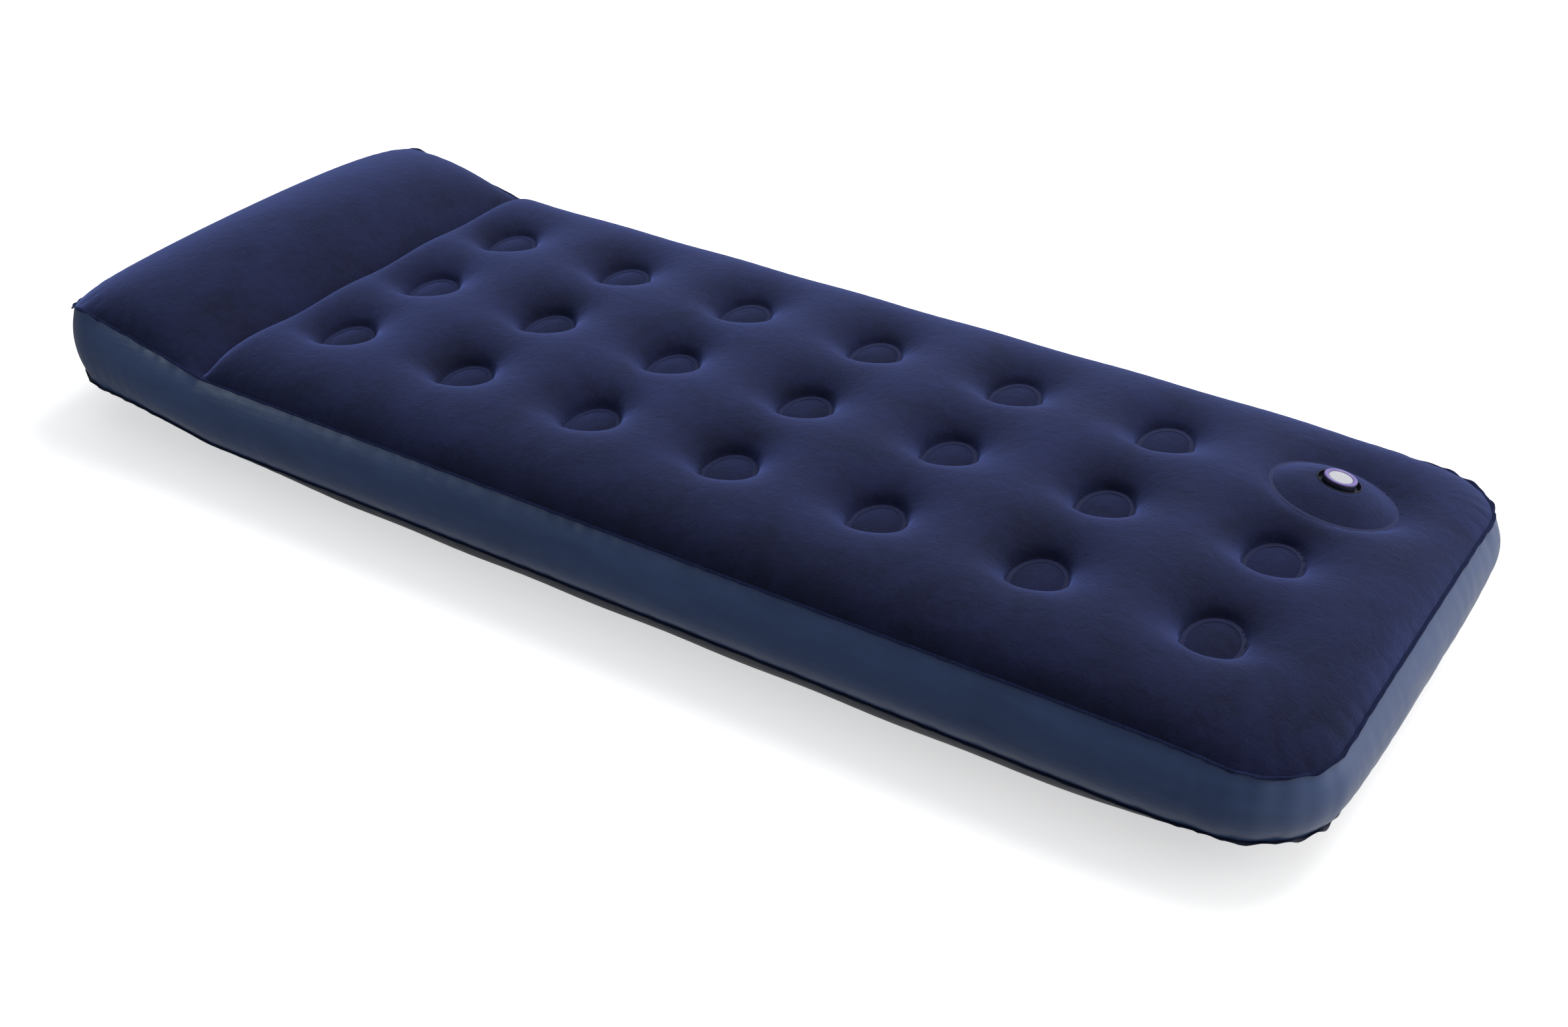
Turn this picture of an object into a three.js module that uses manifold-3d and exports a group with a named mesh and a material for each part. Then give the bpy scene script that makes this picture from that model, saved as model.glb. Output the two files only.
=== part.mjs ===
// Single air mattress with a raised pillow and a built-in foot pump.
// Millimetres, +Z up. +X runs along the bed from the pillow to the pump end, +Y to the far side.
// The origin is the bottom centre of the whole part, on the floor.
import * as THREE from 'three';
import { mergeVertices } from 'three/addons/utils/BufferGeometryUtils.js';
import Module from 'manifold-3d';

const wasm = await Module();
wasm.setup();

// ---- Driving dimensions -------------------------------------------------------------------
const LENGTH = 1850;
const WIDTH = 700;
const BAND_BULGE = 20;
const CORNER_RADIUS = 90;
const LOWER_SEAM_Z = 45;
const UPPER_SEAM_Z = 145;
const BED_TOP_Z = 190;
const PILLOW_TOP_Z = 200;
const CREASE_X = -610;
const LOWER_HEAD_LIFT = 26;
const UPPER_HEAD_LIFT = 38;

const SHEET = 2;
const GAP = 0.3;
const FLANGE_OUT = 5;
const FLANGE_THICKNESS = 1.5;

const COIL_COLUMNS = 7;
const COIL_FIRST_X = -504;
const COIL_ROWS_Y = 6;
const COIL_PITCH_X = 206;
const COIL_PITCH_Y = 170;
const COIL_RADIUS = 36;
const DIMPLE_FLOOR_Z = 155;
const DIMPLE_FLOOR_RADIUS = 41;
const DIMPLE_TOP_RADIUS = 60;

const PUMP_X = 744;
const PUMP_Y = 158;
const PUMP_Z = 168;
const PUMP_RADIUS = 72;
const PUMP_TILT = 12 * (Math.PI / 180);
const PUMP_CREST = 19.5;
const CUP_DEPTH = 98;

const VALVE_X = -400;
const VALVE_PROUD = 18.3;

// Worked out from the above.
const SEAM_HALF_X = LENGTH / 2 - BAND_BULGE;
const SEAM_HALF_Y = WIDTH / 2 - BAND_BULGE;
const SEAM_CLEAR = FLANGE_THICKNESS / 2 + GAP;
const ARC_STEPS = 8;

// ---- Colours and finishes -----------------------------------------------------------------
function finish(color, roughness, metalness = 0) {
  return new THREE.MeshStandardMaterial({ color, roughness, metalness });
}

const FLOCK = finish(0x232a48, 0.95);
const VINYL = finish(0x33435f, 0.45);
const UNDERSIDE = finish(0x1f2943, 0.55);
const CLEAR_VINYL = finish(0x9aa3b4, 0.3);
const FOAM = finish(0xc9c2a4, 0.95);
const NAVY_PLASTIC = finish(0x1b2340, 0.4);
const LILAC_PLASTIC = finish(0x7b6aa6, 0.35);
const GREY_PLASTIC = finish(0xb9bcc4, 0.4);
const BLACK_RUBBER = finish(0x16181c, 0.7);

// ---- Small helpers ------------------------------------------------------------------------
function mesh(name, geometry, material, parent) {
  const node = new THREE.Mesh(geometry, material);
  node.name = name;
  parent.add(node);
  return node;
}

function toManifold(geometry) {
  const bare = geometry.clone();
  bare.deleteAttribute('normal');
  bare.deleteAttribute('uv');
  const merged = mergeVertices(bare, 1e-4);
  const data = {
    numProp: 3,
    vertProperties: merged.attributes.position.array,
    triVerts: merged.index.array,
  };
  return new wasm.Manifold(new wasm.Mesh(data));
}

function fromManifold(solid) {
  const { vertProperties, triVerts } = solid.getMesh();
  const geometry = new THREE.BufferGeometry();
  geometry.setAttribute('position', new THREE.BufferAttribute(new Float32Array(vertProperties), 3));
  geometry.setIndex(new THREE.BufferAttribute(new Uint32Array(triVerts), 1));
  geometry.computeVertexNormals();
  return geometry;
}

function signedVolume(points, triangles) {
  let sum = 0;
  for (const [a, b, c] of triangles) {
    sum += points[a].dot(new THREE.Vector3().crossVectors(points[b], points[c]));
  }
  return sum;
}

function closedGeometry(points, triangles) {
  const inward = signedVolume(points, triangles) < 0;
  const facing = inward ? triangles.map(([a, b, c]) => [a, c, b]) : triangles;
  const geometry = new THREE.BufferGeometry();
  geometry.setFromPoints(points);
  geometry.setIndex(facing.flat());
  geometry.computeVertexNormals();
  return geometry;
}

// A solid of revolution about Z, from a closed outline of [radius, z] points.
function turned(outline, segments = 24) {
  const closed = [...outline, outline[0]].map(([r, z]) => new THREE.Vector2(r, z));
  const geometry = new THREE.LatheGeometry(closed, segments);
  geometry.rotateX(Math.PI / 2);
  return closedFromLathe(geometry);
}

function closedFromLathe(geometry) {
  geometry.deleteAttribute('normal');
  geometry.deleteAttribute('uv');
  const merged = mergeVertices(geometry, 1e-4);
  const points = [];
  for (let i = 0; i < merged.attributes.position.count; i += 1) {
    points.push(new THREE.Vector3().fromBufferAttribute(merged.attributes.position, i));
  }
  const index = merged.index.array;
  const triangles = [];
  for (let i = 0; i < index.length; i += 3) {
    const [a, b, c] = [index[i], index[i + 1], index[i + 2]];
    if (a !== b && b !== c && c !== a) triangles.push([a, b, c]);
  }
  return closedGeometry(points, triangles);
}

function cone(zLow, rLow, zHigh, rHigh, segments) {
  const geometry = new THREE.CylinderGeometry(rHigh, rLow, zHigh - zLow, segments);
  geometry.rotateX(Math.PI / 2);
  geometry.translate(0, 0, (zLow + zHigh) / 2);
  return geometry;
}

// ---- The outline of the chamber and what is swept round it -----------------------------------
const WHOLE_BED = {
  low: -SEAM_HALF_X, high: SEAM_HALF_X, headRadius: CORNER_RADIUS, footRadius: CORNER_RADIUS,
};
const CREASE_HALF_THICKNESS = 3;
const MAIN_PANEL = {
  low: CREASE_X + CREASE_HALF_THICKNESS, high: SEAM_HALF_X, headRadius: 20, footRadius: CORNER_RADIUS,
};
const PILLOW_PANEL = {
  low: -SEAM_HALF_X, high: CREASE_X - CREASE_HALF_THICKNESS, headRadius: CORNER_RADIUS, footRadius: 20,
};

// A rounded rectangle drawn `inset` inside a panel's edge, anticlockwise, with the same number of
// points at every inset. The whole bed's outline also has a point at the crease on each long side.
function outline(panel, inset) {
  const halfY = SEAM_HALF_Y - inset;
  const low = panel.low + inset;
  const high = panel.high - inset;
  const head = Math.max(panel.headRadius - inset, 8);
  const foot = Math.max(panel.footRadius - inset, 8);
  const points = [];
  const arc = (cx, cy, radius, startQuarter) => {
    for (let i = 0; i <= ARC_STEPS; i += 1) {
      const angle = (startQuarter + i / ARC_STEPS) * (Math.PI / 2);
      points.push(new THREE.Vector2(cx + radius * Math.cos(angle), cy + radius * Math.sin(angle)));
    }
  };
  arc(high - foot, halfY - foot, foot, 0);
  if (panel === WHOLE_BED) points.push(new THREE.Vector2(CREASE_X, halfY));
  arc(low + head, halfY - head, head, 1);
  arc(low + head, -halfY + head, head, 2);
  if (panel === WHOLE_BED) points.push(new THREE.Vector2(CREASE_X, -halfY));
  arc(high - foot, -halfY + foot, foot, 3);
  return points;
}

// The head end is tipped up from the crease, and the belly of the bottom sheet stays on the floor.
function lift(x, z) {
  const along = Math.max(0, (CREASE_X - x) / (CREASE_X + SEAM_HALF_X));
  const belly = 3 * SHEET;
  const share = Math.min(1, Math.max(0, (z - belly) / (LOWER_SEAM_Z - belly)));
  const upperShare = Math.max(0, (z - LOWER_SEAM_Z) / (UPPER_SEAM_Z - LOWER_SEAM_Z));
  const height = LOWER_HEAD_LIFT + (UPPER_HEAD_LIFT - LOWER_HEAD_LIFT) * Math.min(1, upperShare);
  return height * along * share;
}

function loops(panel, profile) {
  const points = [];
  for (const [inset, z] of profile) {
    for (const { x, y } of outline(panel, inset)) points.push(new THREE.Vector3(x, y, z + lift(x, z)));
  }
  return points;
}

function bandsBetween(count, firstLoop, secondLoop) {
  const triangles = [];
  for (let i = 0; i < count; i += 1) {
    const j = (i + 1) % count;
    const [a, b] = [firstLoop * count + i, firstLoop * count + j];
    const [c, d] = [secondLoop * count + i, secondLoop * count + j];
    triangles.push([a, b, d], [a, d, c]);
  }
  return triangles;
}

// A closed ring: the [inset, z] outline of its section is carried round the panel.
function sweptRing(panel, section) {
  const count = outline(panel, 0).length;
  const triangles = section.flatMap((_, k) => bandsBetween(count, k, (k + 1) % section.length));
  return closedGeometry(loops(panel, section), triangles);
}

function cap(panel, inset, firstPoint, turnedOver) {
  const faces = THREE.ShapeUtils.triangulateShape(outline(panel, inset), []);
  return faces.map(([a, b, c]) => {
    const [p, q, r] = [firstPoint + a, firstPoint + b, firstPoint + c];
    return turnedOver ? [p, r, q] : [p, q, r];
  });
}

// A solid between a first and a last flat cap, with its sides on the profile's [inset, z] points.
function cushion(panel, profile) {
  const count = outline(panel, 0).length;
  const last = profile.length - 1;
  const triangles = [
    ...profile.slice(1).flatMap((_, k) => bandsBetween(count, k, k + 1)),
    ...cap(panel, profile[0][0], 0, true),
    ...cap(panel, profile[last][0], last * count, false),
  ];
  return closedGeometry(loops(panel, profile), triangles);
}

// A sheet with an open rim: the outer face follows the profile and the inner face lies `SHEET` inside.
function dish(panel, profile, inwards) {
  const count = outline(panel, 0).length;
  const inner = profile.map(([inset, z], k) => [inset + SHEET, k === 0 ? z : z + inwards * SHEET]);
  inner.reverse();
  const all = [...profile, ...inner];
  const last = profile.length - 1;
  const joined = all.map((_, k) => k).filter((k) => k !== last);
  const triangles = joined.flatMap((k) => bandsBetween(count, k, (k + 1) % all.length));
  triangles.push(...cap(panel, profile[last][0], last * count, false));
  triangles.push(...cap(panel, inner[0][0], (last + 1) * count, true));
  return closedGeometry(loops(panel, all), triangles);
}

// ---- The pump's place: its axis leans towards the far foot corner ---------------------------------
const pump = new THREE.Group();
pump.position.set(PUMP_X, PUMP_Y, PUMP_Z);
pump.quaternion.setFromAxisAngle(new THREE.Vector3(-Math.SQRT1_2, Math.SQRT1_2, 0), PUMP_TILT);
pump.updateMatrix();

// ---- Chamber sheets ---------------------------------------------------------------------------
const TOP_RIM_Z = UPPER_SEAM_Z + SEAM_CLEAR;
const MAIN_PROFILE = [
  [0, TOP_RIM_Z],
  [3, 158],
  [10, 170],
  [22, 180],
  [40, 187],
  [60, BED_TOP_Z],
];
const PILLOW_PROFILE = [
  [0, TOP_RIM_Z],
  [2, 159],
  [8, 172],
  [18, 184],
  [34, 191],
  [56, 196],
  [85, 199],
  [115, PILLOW_TOP_Z],
];
const BOTTOM_PROFILE = [
  [0, LOWER_SEAM_Z - SEAM_CLEAR],
  [3, 36],
  [10, 24],
  [22, 12],
  [40, 3.5],
  [60, 0],
];

function coilPlaces() {
  const places = [];
  for (const row of [-1, 0, 1]) {
    for (let column = 0; column < COIL_COLUMNS; column += 1) {
      const isPumpPlace = row === 1 && column === COIL_COLUMNS - 1;
      const x = COIL_FIRST_X + column * COIL_PITCH_X;
      if (!isPumpPlace) places.push([x, COIL_ROWS_Y + row * COIL_PITCH_Y]);
    }
  }
  return places;
}

// A cushion with a tapered pit over every coil and a wide one for the pump, all grown by `sheet`.
function pitted(profile, sheet) {
  const reach = BED_TOP_Z + 5;
  const flare = (DIMPLE_TOP_RADIUS - DIMPLE_FLOOR_RADIUS) / (BED_TOP_Z - DIMPLE_FLOOR_Z);
  const grow = (reach - BED_TOP_Z) * flare;
  let solid = toManifold(cushion(MAIN_PANEL, profile));
  for (const [x, y] of coilPlaces()) {
    const low = DIMPLE_FLOOR_RADIUS + sheet;
    const high = DIMPLE_TOP_RADIUS + grow + sheet;
    const pit = cone(DIMPLE_FLOOR_Z - sheet, low, reach, high, 16);
    pit.translate(x, y, 0);
    solid = solid.subtract(toManifold(pit));
  }
  const pumpPit = cone(-sheet, PUMP_RADIUS + 13 + sheet, 45, PUMP_RADIUS + 38 + sheet, 32);
  return solid.subtract(toManifold(pumpPit.applyMatrix4(pump.matrix)));
}

// The pitted cushion less its air: the same shape one sheet thickness further in.
function mainTopSheet() {
  const air = MAIN_PROFILE.map(([inset, z], k) => [inset + SHEET, k === 0 ? z - 10 : z - SHEET]);
  const pumpHole = cone(-20, PUMP_RADIUS, 20, PUMP_RADIUS, 32).applyMatrix4(pump.matrix);
  const sheet = pitted(MAIN_PROFILE, 0).subtract(pitted(air, SHEET)).subtract(toManifold(pumpHole));
  return fromManifold(sheet);
}

function sideBand() {
  const middle = (LOWER_SEAM_Z + UPPER_SEAM_Z) / 2;
  const half = (UPPER_SEAM_Z - LOWER_SEAM_Z) / 2;
  const radius = (half * half + BAND_BULGE * BAND_BULGE) / (2 * BAND_BULGE);
  const steps = 6;
  const outer = [];
  for (let i = 0; i <= steps; i += 1) {
    const z = LOWER_SEAM_Z + SEAM_CLEAR + ((2 * (half - SEAM_CLEAR)) * i) / steps;
    outer.push([radius - BAND_BULGE - Math.sqrt(radius * radius - (z - middle) ** 2), z]);
  }
  const inner = outer.map(([inset, z]) => [inset + SHEET, z]).reverse();
  const hole = new THREE.CylinderGeometry(17, 17, 60, 24);
  hole.translate(VALVE_X, SEAM_HALF_Y + BAND_BULGE, middle);
  const ring = toManifold(sweptRing(WHOLE_BED, [...outer, ...inner]));
  return fromManifold(ring.subtract(toManifold(hole)));
}

function seamFlange(z) {
  const [low, high] = [z - FLANGE_THICKNESS / 2, z + FLANGE_THICKNESS / 2];
  const root = SHEET + 0.4;
  return sweptRing(WHOLE_BED, [[-FLANGE_OUT, low], [-FLANGE_OUT, high], [root, high], [root, low]]);
}

function creaseWeld() {
  const geometry = new THREE.BoxGeometry(5, 2 * (SEAM_HALF_Y - 8), 14);
  geometry.translate(CREASE_X, 0, UPPER_SEAM_Z + 6);
  return geometry;
}

// The upright wall under the crease, with three round air ways.
function pillowBaffle() {
  const shape = new THREE.Shape();
  const half = [[262, 2.6], [285, 8], [300, 16], [310, 28], [316, 42], [316, UPPER_SEAM_Z - 1.5]];
  half.forEach(([y, z], k) => (k === 0 ? shape.moveTo(y, z) : shape.lineTo(y, z)));
  [...half].reverse().forEach(([y, z]) => shape.lineTo(-y, z));
  for (const y of [-200, 0, 200]) {
    const way = new THREE.Path();
    way.absarc(y, 75, 28, 0, 2 * Math.PI, true);
    shape.holes.push(way);
  }
  const options = { depth: SHEET, bevelEnabled: false, curveSegments: 8 };
  const geometry = new THREE.ExtrudeGeometry(shape, options);
  geometry.rotateX(Math.PI / 2);
  geometry.rotateZ(Math.PI / 2);
  geometry.translate(CREASE_X - SHEET / 2, 0, 0);
  return geometry;
}

// An upright tube with a weld flange under the top sheet and an air hole through both sides.
function coil() {
  const [inner, rim] = [COIL_RADIUS - 1.5, COIL_RADIUS + 3];
  const [low, high] = [SHEET + 0.4, DIMPLE_FLOOR_Z - SHEET - 0.4];
  const tube = turned([
    [inner, low],
    [COIL_RADIUS, low],
    [COIL_RADIUS, high - 1.2],
    [rim, high - 1.2],
    [rim, high],
    [inner, high],
  ], 12);
  const airHole = new THREE.CylinderGeometry(9, 9, 100, 6);
  airHole.translate(0, 0, (low + high) / 2);
  return fromManifold(toManifold(tube).subtract(toManifold(airHole)));
}

// ---- Foot pump pieces, about the pump's own axis with z = 0 at its weld ring -------------------
function pumpCup() {
  const under = -SHEET - GAP;
  return turned([
    [14, -CUP_DEPTH],
    [PUMP_RADIUS + 2, -CUP_DEPTH],
    [PUMP_RADIUS + 2, under - 2],
    [PUMP_RADIUS + 9, under - 2],
    [PUMP_RADIUS + 9, under],
    [PUMP_RADIUS, under],
    [PUMP_RADIUS, SHEET - CUP_DEPTH],
    [14, SHEET - CUP_DEPTH],
  ], 32);
}

function pumpWeldRing() {
  return turned([
    [PUMP_RADIUS + 0.4, GAP],
    [PUMP_RADIUS + 10, GAP],
    [PUMP_RADIUS + 8.5, GAP + 3],
    [PUMP_RADIUS + 2, GAP + 3],
  ], 32);
}

const COLLAR_RADIUS = 30;
const COLLAR_WELL_RADIUS = 25.5;
const PLUG_RADIUS = 19.7;

// A shallow dome with a hole for the intake collar.
function pumpDome() {
  const outer = [];
  const steps = 6;
  const rim = PUMP_RADIUS - 0.6;
  for (let i = 0; i <= steps; i += 1) {
    const r = rim + ((COLLAR_RADIUS + GAP - rim) * i) / steps;
    const fall = (r / rim) ** 3;
    outer.push([r, GAP + SHEET + (PUMP_CREST - SHEET - GAP) * (1 - fall) * 1.06]);
  }
  const inner = outer.map(([r, z]) => [r, z - SHEET]).reverse();
  return turned([...outer, ...inner], 32);
}

function pumpFoam() {
  const [low, high] = [SHEET + GAP - CUP_DEPTH, 3.5];
  return turned([[31, low], [62, low], [62, high - 1], [50, high + 3], [31, high + 4]], 24);
}

function intakeCollar() {
  const [low, high] = [PUMP_CREST - 11, PUMP_CREST + 0.5];
  return turned([
    [PLUG_RADIUS + 0.6, low],
    [COLLAR_RADIUS, low],
    [COLLAR_RADIUS, high],
    [COLLAR_WELL_RADIUS, high],
    [COLLAR_WELL_RADIUS, low + 4],
    [PLUG_RADIUS + 0.6, low + 4],
  ], 32);
}

const PLUG_TOP = PUMP_CREST + 7;

function intakePlug() {
  const low = PUMP_CREST - 15;
  return turned([
    [0, low],
    [16, low],
    [PLUG_RADIUS - 0.3, low + 3],
    [PLUG_RADIUS, PLUG_TOP - 2.3],
    [0, PLUG_TOP - 2.3],
  ], 32);
}

function plugRimRing() {
  const low = PLUG_TOP - 2;
  return turned([[14.6, low], [PLUG_RADIUS, low], [PLUG_RADIUS - 0.8, low + 2], [14.6, low + 2]], 32);
}

function plugCentreDisc() {
  const low = PLUG_TOP - 2;
  return turned([[0, low], [14, low], [14, low + 1.2], [0, low + 1.6]], 32);
}

function outletSeat() {
  const top = SHEET + GAP - CUP_DEPTH;
  return turned([
    [9, -SHEET - CUP_DEPTH],
    [13.6, -SHEET - CUP_DEPTH],
    [13.6, top],
    [18, top],
    [18, top + 2],
    [9, top + 2],
  ], 24);
}

function outletFlap() {
  const top = -SHEET - GAP - CUP_DEPTH;
  return turned([[0, top - 1.5], [12.5, top - 1.5], [12.5, top], [0, top]], 24);
}

// ---- Main valve, about its own axis, with z = 0 on the outside of the band ------------------------
function valveFlange() {
  return turned([
    [13.5, -22],
    [16, -22],
    [16, GAP],
    [27, GAP],
    [26, 2.3],
    [16.5, 2.3],
    [16.5, 6],
    [13.5, 6],
  ]);
}

function valveGasket() {
  return turned([[13.5, 6.3], [16.5, 6.3], [16.5, 7.5], [13.5, 7.5]]);
}

function valveScrewBody() {
  return turned([[8, -15], [13.1, -15], [13.1, 7.8], [19, 7.8], [19, 15], [8, 15]]);
}

// A disc with a short tapered spigot and a tab that reaches to the hinge.
function valveCap() {
  const spigot = [[0, 12], [6.4, 12], [7.4, 15.3]];
  const disc = turned([...spigot, [12, 15.3], [12, 17.8], [10.5, VALVE_PROUD], [0, VALVE_PROUD]]);
  const tab = new THREE.BoxGeometry(9, 6, 1.6);
  tab.translate(14, 0, 16.1);
  return fromManifold(toManifold(disc).add(toManifold(tab)));
}

function valveCheckFlap() {
  return turned([[0, -16.8], [10.5, -16.8], [10.5, -15.3], [0, -15.3]]);
}

// ---- Assembly -----------------------------------------------------------------------------------
const bed = new THREE.Group();
bed.position.y = -VALVE_PROUD / 2;
mesh('main_top_sheet', mainTopSheet(), FLOCK, bed);
mesh('pillow_panel', dish(PILLOW_PANEL, PILLOW_PROFILE, -1), FLOCK, bed);
mesh('side_band', sideBand(), VINYL, bed);
mesh('bottom_sheet', dish(WHOLE_BED, BOTTOM_PROFILE, 1), UNDERSIDE, bed);
mesh('upper_seam_flange', seamFlange(UPPER_SEAM_Z), FLOCK, bed);
mesh('lower_seam_flange', seamFlange(LOWER_SEAM_Z), UNDERSIDE, bed);
mesh('crease_weld', creaseWeld(), FLOCK, bed);
mesh('pillow_baffle', pillowBaffle(), CLEAR_VINYL, bed);

coilPlaces().forEach(([x, y], k) => {
  const name = `coil_${String(k + 1).padStart(2, '0')}`;
  mesh(name, coil(), CLEAR_VINYL, bed).position.set(x, y, 0);
});

bed.add(pump);
mesh('pump_cup', pumpCup(), CLEAR_VINYL, pump);
mesh('pump_foam', pumpFoam(), FOAM, pump);
mesh('pump_dome', pumpDome(), FLOCK, pump);
mesh('pump_weld_ring', pumpWeldRing(), FLOCK, pump);
mesh('intake_collar', intakeCollar(), NAVY_PLASTIC, pump);
mesh('intake_plug', intakePlug(), NAVY_PLASTIC, pump);
mesh('plug_rim_ring', plugRimRing(), LILAC_PLASTIC, pump);
mesh('plug_centre_disc', plugCentreDisc(), GREY_PLASTIC, pump);
mesh('outlet_seat', outletSeat(), NAVY_PLASTIC, pump);
mesh('outlet_flap', outletFlap(), BLACK_RUBBER, pump);

const valve = new THREE.Group();
valve.position.set(VALVE_X, WIDTH / 2, (LOWER_SEAM_Z + UPPER_SEAM_Z) / 2);
valve.rotation.x = -Math.PI / 2;
bed.add(valve);
mesh('valve_flange', valveFlange(), NAVY_PLASTIC, valve);
mesh('valve_gasket', valveGasket(), BLACK_RUBBER, valve);
mesh('valve_screw_body', valveScrewBody(), NAVY_PLASTIC, valve);
mesh('valve_cap', valveCap(), NAVY_PLASTIC, valve);
mesh('valve_check_flap', valveCheckFlap(), CLEAR_VINYL, valve);

const part = new THREE.Group();
part.add(bed);

export default part;
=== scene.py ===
import bmesh
import bpy
import numpy as np
from mathutils import Matrix, Vector


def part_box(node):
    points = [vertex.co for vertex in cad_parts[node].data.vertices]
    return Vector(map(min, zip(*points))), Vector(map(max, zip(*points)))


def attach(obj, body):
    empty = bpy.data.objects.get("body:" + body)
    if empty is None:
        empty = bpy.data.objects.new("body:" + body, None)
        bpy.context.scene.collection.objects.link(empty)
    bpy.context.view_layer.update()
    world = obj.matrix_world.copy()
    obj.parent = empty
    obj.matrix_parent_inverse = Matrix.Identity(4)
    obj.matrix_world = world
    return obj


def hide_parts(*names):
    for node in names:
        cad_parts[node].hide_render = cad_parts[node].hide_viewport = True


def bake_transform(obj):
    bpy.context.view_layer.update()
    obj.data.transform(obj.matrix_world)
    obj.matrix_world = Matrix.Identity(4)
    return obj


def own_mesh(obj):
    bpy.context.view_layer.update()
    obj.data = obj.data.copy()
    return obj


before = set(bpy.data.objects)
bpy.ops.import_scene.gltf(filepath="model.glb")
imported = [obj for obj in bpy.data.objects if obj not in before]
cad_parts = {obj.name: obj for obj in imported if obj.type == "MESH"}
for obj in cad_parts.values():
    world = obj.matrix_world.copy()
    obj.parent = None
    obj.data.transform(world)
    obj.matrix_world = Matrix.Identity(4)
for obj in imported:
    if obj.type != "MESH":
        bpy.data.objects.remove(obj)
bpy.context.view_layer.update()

# A single flocked air bed: coil-dimpled top sheet, raised pillow, vinyl side band, foot pump
# and screw valve. Metres, +X towards the pump end, +Y to the far side, +Z up.


# ---- Camera --------------------------------------------------------------------------------------
def aim_camera(azimuth, elevation, roll, distance, target, lens):
    """Looks at target from `distance` away. Azimuth turns about Z from the near side, and roll about the
    sight line."""
    a, e, r = np.radians([azimuth, elevation, roll])
    back = Vector((np.sin(a) * np.cos(e), -np.cos(a) * np.cos(e), np.sin(e)))
    level = Vector((np.cos(a), np.sin(a), 0))
    upright = back.cross(level)
    right = level * np.cos(r) + upright * np.sin(r)
    up = upright * np.cos(r) - level * np.sin(r)
    camera = bpy.data.objects.new("camera", bpy.data.cameras.new("camera"))
    turned = Matrix((right, up, back)).transposed().to_4x4()
    camera.matrix_world = Matrix.Translation(Vector(target) + back * distance) @ turned
    camera.data.sensor_width = 36
    camera.data.lens = lens
    bpy.context.scene.collection.objects.link(camera)
    bpy.context.scene.camera = camera


aim_camera(33.35, 33.0, -0.3, 2.3845, (0.1716, -0.1398, 0.1), 45.32)


# ---- Sizes and places, from the frame ------------------------------------------------------------
def middle(node):
    low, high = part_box(node)
    return (low + high) / 2


FLANGE_OUT = 0.005
FLANGE_THICK = 0.0015
seam_low, seam_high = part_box("upper_seam_flange")
MID_Y = (seam_low.y + seam_high.y) / 2
HALF_X = seam_high.x - FLANGE_OUT
HALF_Y = (seam_high.y - seam_low.y) / 2 - FLANGE_OUT
BEND_RADIUS = 0.09
UPPER_SEAM = seam_low.z + FLANGE_THICK / 2
LOWER_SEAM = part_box("lower_seam_flange")[0].z + FLANGE_THICK / 2
BAND_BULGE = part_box("side_band")[1].x - HALF_X
CREASE_X = middle("crease_weld").x
CREASE_Z = 0.151
FLOOR_CLEAR = 0.0006
PILLOW_RISE = 0.041
HEAD_DIP = 0.028
LOWER_RISE = 0.025
CORNER_DROP = 0.006
CORNER_RISE = 0.011

COIL_NAMES = [f"coil_{k:02d}" for k in range(1, 21)]
COIL_PLACES = [(middle(name).x, middle(name).y - MID_Y) for name in COIL_NAMES]
DIMPLE_Z = 0.152
DIMPLE_TILT = 0.15
DIMPLE_FEET_Z = 0.010
DISC_RISE = 0.004
MAIN_LOAD = 5.6
PILLOW_LOAD = 5.2
RING_X, RING_Y = 0.0315, 0.0370
RING_WIDTH = 0.0056
WALL_REACH = 0.009
COIL_CLEAR = 0.0006

PUMP_AXIS = Vector((0.147016, 0.147016, 0.978148))
WELD_RING_HALF_HEIGHT = 0.0018
PUMP = middle("pump_weld_ring") - PUMP_AXIS * WELD_RING_HALF_HEIGHT
PUMP_HOLE = 0.0750
PUMP_SEAT = 0.0785
PUMP_CREST = 0.0195

VALVE = middle("valve_flange")
VALVE.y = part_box("valve_flange")[1].y - 0.006
VALVE_HOLE = 0.0195


# ---- The outline of the bed ----------------------------------------------------------------------
END_RUN = HALF_Y - BEND_RADIUS
BEND_RUN = BEND_RADIUS * np.pi / 2
SIDE_RUN = HALF_X - BEND_RADIUS
QUARTER = END_RUN + BEND_RUN + SIDE_RUN
ROUND = 4 * QUARTER


def quarter_of(s):
    """Which quarter of the outline holds arc length s, and the run from the middle of that
    quarter's end."""
    quarter = np.floor(s / QUARTER).astype(int) % 4
    run = s % QUARTER
    return quarter, np.where(quarter % 2 == 1, QUARTER - run, run)


def outline(s):
    """The outline point at arc length s and its outward direction: a straight end, a quarter circle and
    a straight side, mirrored into the four quarters. It runs anticlockwise from the middle of the
    pump end."""
    quarter, run = quarter_of(s)
    angle = np.clip((run - END_RUN) / BEND_RADIUS, 0, np.pi / 2)
    x = SIDE_RUN + BEND_RADIUS * np.cos(angle) - np.maximum(run - END_RUN - BEND_RUN, 0)
    y = np.minimum(run, END_RUN) + BEND_RADIUS * np.sin(angle)
    side_x = np.where((quarter == 1) | (quarter == 2), -1, 1)
    side_y = np.where(quarter >= 2, -1, 1)
    return x * side_x, y * side_y, np.cos(angle) * side_x, np.sin(angle) * side_y


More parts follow.
